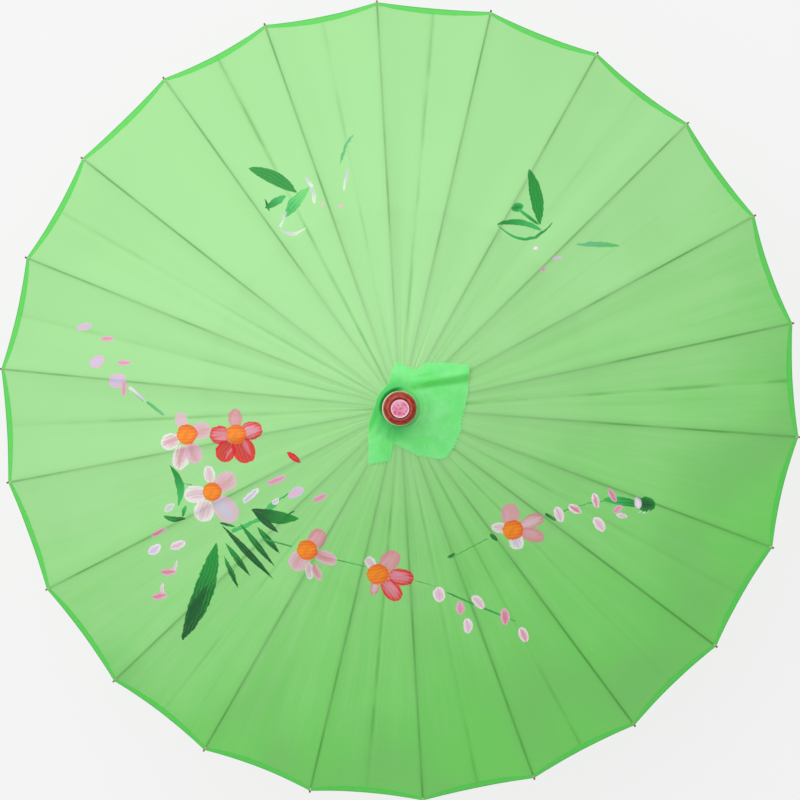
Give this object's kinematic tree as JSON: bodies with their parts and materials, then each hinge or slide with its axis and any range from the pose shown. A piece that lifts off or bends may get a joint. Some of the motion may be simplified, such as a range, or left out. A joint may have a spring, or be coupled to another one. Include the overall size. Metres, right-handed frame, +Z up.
{
  "type": "painted cloth parasol",
  "caption": "Open hand-painted green cloth parasol with slim wooden ribs and stretchers, a sliding runner, a straight pole with a spring catch, a turned handle and a lacquered finial.",
  "frame": {"origin": "middle of the handle's flat end face, at the bottom of the parasol", "axes": "+Z up along the pole towards the finial; +Y is the side of rib_01, 3.3 degrees anticlockwise of it seen from above"},
  "size_m": [0.8178, 0.8194, 0.545],
  "materials": {
    "canopy_cloth": "satin",
    "head_cloth": "satin",
    "rib_wood": "satin",
    "stretcher_wood": "satin",
    "turned_wood": "satin",
    "pole_wood": "satin",
    "handle_wood": "gloss",
    "brass": "polished",
    "steel_wire": "satin",
    "thread": "matte",
    "washer": "matte",
    "lacquer": "gloss",
    "peg": "satin"
  },
  "bodies": {
    "frame": {"pole": "pole_wood", "handle": "handle_wood", "handle_collar": "brass", "top_hub": "turned_wood", "hub_pin": "brass", "top_ring_wire": "steel_wire", "pivot_thread": "thread", "canopy": "canopy_cloth", "head_cloth": "head_cloth", "head_washer": "washer", "finial": "lacquer", "finial_peg": "peg"},
    "rib_01": {"rib_01": "rib_wood"},
    "stretcher_01": {"stretcher_01": "stretcher_wood"},
    "rib_02": {"rib_02": "rib_wood"},
    "stretcher_02": {"stretcher_02": "stretcher_wood"},
    "rib_03": {"rib_03": "rib_wood"},
    "stretcher_03": {"stretcher_03": "stretcher_wood"},
    "rib_04": {"rib_04": "rib_wood"},
    "stretcher_04": {"stretcher_04": "stretcher_wood"},
    "rib_05": {"rib_05": "rib_wood"},
    "stretcher_05": {"stretcher_05": "stretcher_wood"},
    "rib_06": {"rib_06": "rib_wood"},
    "stretcher_06": {"stretcher_06": "stretcher_wood"},
    "rib_07": {"rib_07": "rib_wood"},
    "stretcher_07": {"stretcher_07": "stretcher_wood"},
    "rib_08": {"rib_08": "rib_wood"},
    "stretcher_08": {"stretcher_08": "stretcher_wood"},
    "rib_09": {"rib_09": "rib_wood"},
    "stretcher_09": {"stretcher_09": "stretcher_wood"},
    "rib_10": {"rib_10": "rib_wood"},
    "stretcher_10": {"stretcher_10": "stretcher_wood"},
    "rib_11": {"rib_11": "rib_wood"},
    "stretcher_11": {"stretcher_11": "stretcher_wood"},
    "rib_12": {"rib_12": "rib_wood"},
    "stretcher_12": {"stretcher_12": "stretcher_wood"},
    "rib_13": {"rib_13": "rib_wood"},
    "stretcher_13": {"stretcher_13": "stretcher_wood"},
    "rib_14": {"rib_14": "rib_wood"},
    "stretcher_14": {"stretcher_14": "stretcher_wood"},
    "rib_15": {"rib_15": "rib_wood"},
    "stretcher_15": {"stretcher_15": "stretcher_wood"},
    "rib_16": {"rib_16": "rib_wood"},
    "stretcher_16": {"stretcher_16": "stretcher_wood"},
    "rib_17": {"rib_17": "rib_wood"},
    "stretcher_17": {"stretcher_17": "stretcher_wood"},
    "rib_18": {"rib_18": "rib_wood"},
    "stretcher_18": {"stretcher_18": "stretcher_wood"},
    "rib_19": {"rib_19": "rib_wood"},
    "stretcher_19": {"stretcher_19": "stretcher_wood"},
    "rib_20": {"rib_20": "rib_wood"},
    "stretcher_20": {"stretcher_20": "stretcher_wood"},
    "rib_21": {"rib_21": "rib_wood"},
    "stretcher_21": {"stretcher_21": "stretcher_wood"},
    "rib_22": {"rib_22": "rib_wood"},
    "stretcher_22": {"stretcher_22": "stretcher_wood"},
    "runner": {"runner": "turned_wood", "runner_ring_wire": "steel_wire"},
    "catch": {"catch_spring": "steel_wire"}
  },
  "joints": [
    {"name": "rib_01_fold", "type": "hinge", "parent": "frame", "child": "rib_01", "pos_m": [-0.00075, 0.01298, 0.516], "axis": [-0.9983, -0.0576, 0], "range_deg": [0, 68.1], "deforming": ["canopy", "head_cloth", "pivot_thread", "catch_spring"]},
    {"name": "stretcher_01_pivot", "type": "hinge", "parent": "rib_01", "child": "stretcher_01", "pos_m": [-0.01103, 0.19135, 0.45135], "axis": [-0.9983, -0.0576, 0], "range_deg": [-136.4, 0]},
    {"name": "rib_02_fold", "type": "hinge", "parent": "frame", "child": "rib_02", "pos_m": [0.00294, 0.01266, 0.516], "axis": [-0.9741, 0.226, 0], "range_deg": [0, 68.1]},
    {"name": "stretcher_02_pivot", "type": "hinge", "parent": "rib_02", "child": "stretcher_02", "pos_m": [0.04332, 0.1867, 0.45135], "axis": [-0.9741, 0.226, 0], "range_deg": [-136.4, 0]},
    {"name": "rib_03_fold", "type": "hinge", "parent": "frame", "child": "rib_03", "pos_m": [0.00639, 0.01132, 0.516], "axis": [-0.871, 0.4913, 0], "range_deg": [0, 68.1]},
    {"name": "stretcher_03_pivot", "type": "hinge", "parent": "rib_03", "child": "stretcher_03", "pos_m": [0.09417, 0.16694, 0.45135], "axis": [-0.871, 0.4913, 0], "range_deg": [-136.4, 0]},
    {"name": "rib_04_fold", "type": "hinge", "parent": "frame", "child": "rib_04", "pos_m": [0.00932, 0.00907, 0.516], "axis": [-0.6973, 0.7168, 0], "range_deg": [0, 68.1]},
    {"name": "stretcher_04_pivot", "type": "hinge", "parent": "rib_04", "child": "stretcher_04", "pos_m": [0.13739, 0.13364, 0.45135], "axis": [-0.6973, 0.7168, 0], "range_deg": [-136.4, 0]},
    {"name": "rib_05_fold", "type": "hinge", "parent": "frame", "child": "rib_05", "pos_m": [0.0115, 0.00607, 0.516], "axis": [-0.4671, 0.8842, 0], "range_deg": [0, 68.1]},
    {"name": "stretcher_05_pivot", "type": "hinge", "parent": "rib_05", "child": "stretcher_05", "pos_m": [0.16947, 0.08952, 0.45135], "axis": [-0.4671, 0.8842, 0], "range_deg": [-136.4, 0]},
    {"name": "rib_06_fold", "type": "hinge", "parent": "frame", "child": "rib_06", "pos_m": [0.01274, 0.00259, 0.516], "axis": [-0.1991, 0.98, 0], "range_deg": [0, 68.1]},
    {"name": "stretcher_06_pivot", "type": "hinge", "parent": "rib_06", "child": "stretcher_06", "pos_m": [0.18783, 0.03815, 0.45135], "axis": [-0.1991, 0.98, 0], "range_deg": [-136.4, 0]},
    {"name": "rib_07_fold", "type": "hinge", "parent": "frame", "child": "rib_07", "pos_m": [0.01295, -0.00111, 0.516], "axis": [0.0851, 0.9964, 0], "range_deg": [0, 68.1]},
    {"name": "stretcher_07_pivot", "type": "hinge", "parent": "rib_07", "child": "stretcher_07", "pos_m": [0.19097, -0.01631, 0.45135], "axis": [0.0851, 0.9964, 0], "range_deg": [-136.4, 0]},
    {"name": "rib_08_fold", "type": "hinge", "parent": "frame", "child": "rib_08", "pos_m": [0.01212, -0.00471, 0.516], "axis": [0.3624, 0.932, 0], "range_deg": [0, 68.1]},
    {"name": "stretcher_08_pivot", "type": "hinge", "parent": "rib_08", "child": "stretcher_08", "pos_m": [0.17864, -0.06945, 0.45135], "axis": [0.3624, 0.932, 0], "range_deg": [-136.4, 0]},
    {"name": "rib_09_fold", "type": "hinge", "parent": "frame", "child": "rib_09", "pos_m": [0.0103, -0.00793, 0.516], "axis": [0.6103, 0.7922, 0], "range_deg": [0, 68.1]},
    {"name": "stretcher_09_pivot", "type": "hinge", "parent": "rib_09", "child": "stretcher_09", "pos_m": [0.15183, -0.11697, 0.45135], "axis": [0.6103, 0.7922, 0], "range_deg": [-136.4, 0]},
    {"name": "rib_10_fold", "type": "hinge", "parent": "frame", "child": "rib_10", "pos_m": [0.00765, -0.01051, 0.516], "axis": [0.8087, 0.5882, 0], "range_deg": [0, 68.1]},
    {"name": "stretcher_10_pivot", "type": "hinge", "parent": "rib_10", "child": "stretcher_10", "pos_m": [0.11273, -0.15501, 0.45135], "axis": [0.8087, 0.5882, 0], "range_deg": [-136.4, 0]},
    {"name": "rib_11_fold", "type": "hinge", "parent": "frame", "child": "rib_11", "pos_m": [0.00437, -0.01224, 0.516], "axis": [0.9417, 0.3365, 0], "range_deg": [0, 68.1]},
    {"name": "stretcher_11_pivot", "type": "hinge", "parent": "rib_11", "child": "stretcher_11", "pos_m": [0.06449, -0.18049, 0.45135], "axis": [0.9417, 0.3365, 0], "range_deg": [-136.4, 0]},
    {"name": "rib_12_fold", "type": "hinge", "parent": "frame", "child": "rib_12", "pos_m": [0.00075, -0.01298, 0.516], "axis": [0.9983, 0.0576, 0], "range_deg": [0, 68.1]},
    {"name": "stretcher_12_pivot", "type": "hinge", "parent": "rib_12", "child": "stretcher_12", "pos_m": [0.01103, -0.19135, 0.45135], "axis": [0.9983, 0.0576, 0], "range_deg": [-136.4, 0]},
    {"name": "rib_13_fold", "type": "hinge", "parent": "frame", "child": "rib_13", "pos_m": [-0.00294, -0.01266, 0.516], "axis": [0.9741, -0.226, 0], "range_deg": [0, 68.1]},
    {"name": "stretcher_13_pivot", "type": "hinge", "parent": "rib_13", "child": "stretcher_13", "pos_m": [-0.04332, -0.1867, 0.45135], "axis": [0.9741, -0.226, 0], "range_deg": [-136.4, 0]},
    {"name": "rib_14_fold", "type": "hinge", "parent": "frame", "child": "rib_14", "pos_m": [-0.00639, -0.01132, 0.516], "axis": [0.871, -0.4913, 0], "range_deg": [0, 68.1]},
    {"name": "stretcher_14_pivot", "type": "hinge", "parent": "rib_14", "child": "stretcher_14", "pos_m": [-0.09417, -0.16694, 0.45135], "axis": [0.871, -0.4913, 0], "range_deg": [-136.4, 0]},
    {"name": "rib_15_fold", "type": "hinge", "parent": "frame", "child": "rib_15", "pos_m": [-0.00932, -0.00907, 0.516], "axis": [0.6973, -0.7168, 0], "range_deg": [0, 68.1]},
    {"name": "stretcher_15_pivot", "type": "hinge", "parent": "rib_15", "child": "stretcher_15", "pos_m": [-0.13739, -0.13364, 0.45135], "axis": [0.6973, -0.7168, 0], "range_deg": [-136.4, 0]},
    {"name": "rib_16_fold", "type": "hinge", "parent": "frame", "child": "rib_16", "pos_m": [-0.0115, -0.00607, 0.516], "axis": [0.4671, -0.8842, 0], "range_deg": [0, 68.1]},
    {"name": "stretcher_16_pivot", "type": "hinge", "parent": "rib_16", "child": "stretcher_16", "pos_m": [-0.16947, -0.08952, 0.45135], "axis": [0.4671, -0.8842, 0], "range_deg": [-136.4, 0]},
    {"name": "rib_17_fold", "type": "hinge", "parent": "frame", "child": "rib_17", "pos_m": [-0.01274, -0.00259, 0.516], "axis": [0.1991, -0.98, 0], "range_deg": [0, 68.1]},
    {"name": "stretcher_17_pivot", "type": "hinge", "parent": "rib_17", "child": "stretcher_17", "pos_m": [-0.18783, -0.03815, 0.45135], "axis": [0.1991, -0.98, 0], "range_deg": [-136.4, 0]},
    {"name": "rib_18_fold", "type": "hinge", "parent": "frame", "child": "rib_18", "pos_m": [-0.01295, 0.00111, 0.516], "axis": [-0.0851, -0.9964, 0], "range_deg": [0, 68.1]},
    {"name": "stretcher_18_pivot", "type": "hinge", "parent": "rib_18", "child": "stretcher_18", "pos_m": [-0.19097, 0.01631, 0.45135], "axis": [-0.0851, -0.9964, 0], "range_deg": [-136.4, 0]},
    {"name": "rib_19_fold", "type": "hinge", "parent": "frame", "child": "rib_19", "pos_m": [-0.01212, 0.00471, 0.516], "axis": [-0.3624, -0.932, 0], "range_deg": [0, 68.1]},
    {"name": "stretcher_19_pivot", "type": "hinge", "parent": "rib_19", "child": "stretcher_19", "pos_m": [-0.17864, 0.06945, 0.45135], "axis": [-0.3624, -0.932, 0], "range_deg": [-136.4, 0]},
    {"name": "rib_20_fold", "type": "hinge", "parent": "frame", "child": "rib_20", "pos_m": [-0.0103, 0.00793, 0.516], "axis": [-0.6103, -0.7922, 0], "range_deg": [0, 68.1]},
    {"name": "stretcher_20_pivot", "type": "hinge", "parent": "rib_20", "child": "stretcher_20", "pos_m": [-0.15183, 0.11697, 0.45135], "axis": [-0.6103, -0.7922, 0], "range_deg": [-136.4, 0]},
    {"name": "rib_21_fold", "type": "hinge", "parent": "frame", "child": "rib_21", "pos_m": [-0.00765, 0.01051, 0.516], "axis": [-0.8087, -0.5882, 0], "range_deg": [0, 68.1]},
    {"name": "stretcher_21_pivot", "type": "hinge", "parent": "rib_21", "child": "stretcher_21", "pos_m": [-0.11273, 0.15501, 0.45135], "axis": [-0.8087, -0.5882, 0], "range_deg": [-136.4, 0]},
    {"name": "rib_22_fold", "type": "hinge", "parent": "frame", "child": "rib_22", "pos_m": [-0.00437, 0.01224, 0.516], "axis": [-0.9417, -0.3365, 0], "range_deg": [0, 68.1]},
    {"name": "stretcher_22_pivot", "type": "hinge", "parent": "rib_22", "child": "stretcher_22", "pos_m": [-0.06449, 0.18049, 0.45135], "axis": [-0.9417, -0.3365, 0], "range_deg": [-136.4, 0]},
    {"name": "runner_pivot", "type": "hinge", "parent": "stretcher_01", "child": "runner", "pos_m": [-0.00075, 0.01298, 0.38671], "axis": [-0.9983, -0.0576, 0], "range_deg": [0, 68.3]},
    {"name": "catch_press", "type": "hinge", "parent": "frame", "child": "catch", "pos_m": [0, -0.003, 0.33031], "axis": [-1, 0, 0], "range_deg": [0, 5.2], "stiffness_Nm_per_rad": 0.03, "springref_deg": -5.73}
  ],
  "couplings": [
    {"joint": "stretcher_01_pivot", "follows": "rib_01_fold", "ratio": -2},
    {"joint": "rib_02_fold", "follows": "rib_01_fold", "ratio": 1},
    {"joint": "stretcher_02_pivot", "follows": "rib_01_fold", "ratio": -2},
    {"joint": "rib_03_fold", "follows": "rib_01_fold", "ratio": 1},
    {"joint": "stretcher_03_pivot", "follows": "rib_01_fold", "ratio": -2},
    {"joint": "rib_04_fold", "follows": "rib_01_fold", "ratio": 1},
    {"joint": "stretcher_04_pivot", "follows": "rib_01_fold", "ratio": -2},
    {"joint": "rib_05_fold", "follows": "rib_01_fold", "ratio": 1},
    {"joint": "stretcher_05_pivot", "follows": "rib_01_fold", "ratio": -2},
    {"joint": "rib_06_fold", "follows": "rib_01_fold", "ratio": 1},
    {"joint": "stretcher_06_pivot", "follows": "rib_01_fold", "ratio": -2},
    {"joint": "rib_07_fold", "follows": "rib_01_fold", "ratio": 1},
    {"joint": "stretcher_07_pivot", "follows": "rib_01_fold", "ratio": -2},
    {"joint": "rib_08_fold", "follows": "rib_01_fold", "ratio": 1},
    {"joint": "stretcher_08_pivot", "follows": "rib_01_fold", "ratio": -2},
    {"joint": "rib_09_fold", "follows": "rib_01_fold", "ratio": 1},
    {"joint": "stretcher_09_pivot", "follows": "rib_01_fold", "ratio": -2},
    {"joint": "rib_10_fold", "follows": "rib_01_fold", "ratio": 1},
    {"joint": "stretcher_10_pivot", "follows": "rib_01_fold", "ratio": -2},
    {"joint": "rib_11_fold", "follows": "rib_01_fold", "ratio": 1},
    {"joint": "stretcher_11_pivot", "follows": "rib_01_fold", "ratio": -2},
    {"joint": "rib_12_fold", "follows": "rib_01_fold", "ratio": 1},
    {"joint": "stretcher_12_pivot", "follows": "rib_01_fold", "ratio": -2},
    {"joint": "rib_13_fold", "follows": "rib_01_fold", "ratio": 1},
    {"joint": "stretcher_13_pivot", "follows": "rib_01_fold", "ratio": -2},
    {"joint": "rib_14_fold", "follows": "rib_01_fold", "ratio": 1},
    {"joint": "stretcher_14_pivot", "follows": "rib_01_fold", "ratio": -2},
    {"joint": "rib_15_fold", "follows": "rib_01_fold", "ratio": 1},
    {"joint": "stretcher_15_pivot", "follows": "rib_01_fold", "ratio": -2},
    {"joint": "rib_16_fold", "follows": "rib_01_fold", "ratio": 1},
    {"joint": "stretcher_16_pivot", "follows": "rib_01_fold", "ratio": -2},
    {"joint": "rib_17_fold", "follows": "rib_01_fold", "ratio": 1},
    {"joint": "stretcher_17_pivot", "follows": "rib_01_fold", "ratio": -2},
    {"joint": "rib_18_fold", "follows": "rib_01_fold", "ratio": 1},
    {"joint": "stretcher_18_pivot", "follows": "rib_01_fold", "ratio": -2},
    {"joint": "rib_19_fold", "follows": "rib_01_fold", "ratio": 1},
    {"joint": "stretcher_19_pivot", "follows": "rib_01_fold", "ratio": -2},
    {"joint": "rib_20_fold", "follows": "rib_01_fold", "ratio": 1},
    {"joint": "stretcher_20_pivot", "follows": "rib_01_fold", "ratio": -2},
    {"joint": "rib_21_fold", "follows": "rib_01_fold", "ratio": 1},
    {"joint": "stretcher_21_pivot", "follows": "rib_01_fold", "ratio": -2},
    {"joint": "rib_22_fold", "follows": "rib_01_fold", "ratio": 1},
    {"joint": "stretcher_22_pivot", "follows": "rib_01_fold", "ratio": -2},
    {"joint": "runner_pivot", "follows": "rib_01_fold", "ratio": 1}
  ]
}
